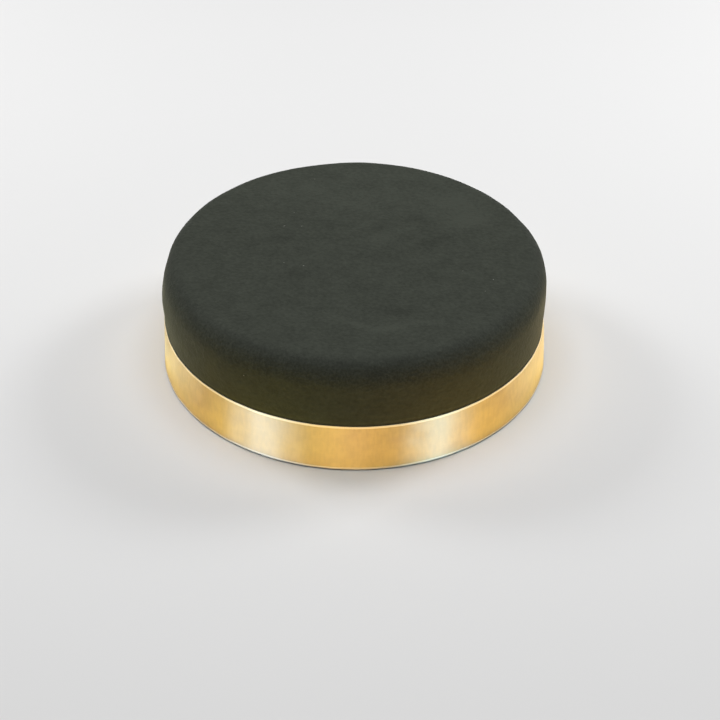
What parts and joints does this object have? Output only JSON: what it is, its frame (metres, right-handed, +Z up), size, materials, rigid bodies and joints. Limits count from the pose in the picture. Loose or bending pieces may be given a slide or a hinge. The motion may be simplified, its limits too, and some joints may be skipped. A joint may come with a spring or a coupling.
{
  "type": "round iced cake with ribbon",
  "caption": "Round celebration cake under smooth black rolled icing with a rounded shoulder, and a gold satin ribbon drawn round its foot.",
  "frame": {"origin": "middle of the flat base, on the surface the cake stands on", "axes": "+Z up through the middle of the cake, -Y towards the front, +X to the right"},
  "size_m": [0.2, 0.2, 0.0613],
  "materials": {
    "black_icing": "soft matte black rolled icing, dusted faintly grey, smoothed by hand",
    "gold_satin": "champagne gold satin weave with pale woven edges and broad soft highlights"
  },
  "bodies": {
    "root": {"iced_cake": "black_icing", "satin_ribbon": "gold_satin"}
  },
  "joints": []
}
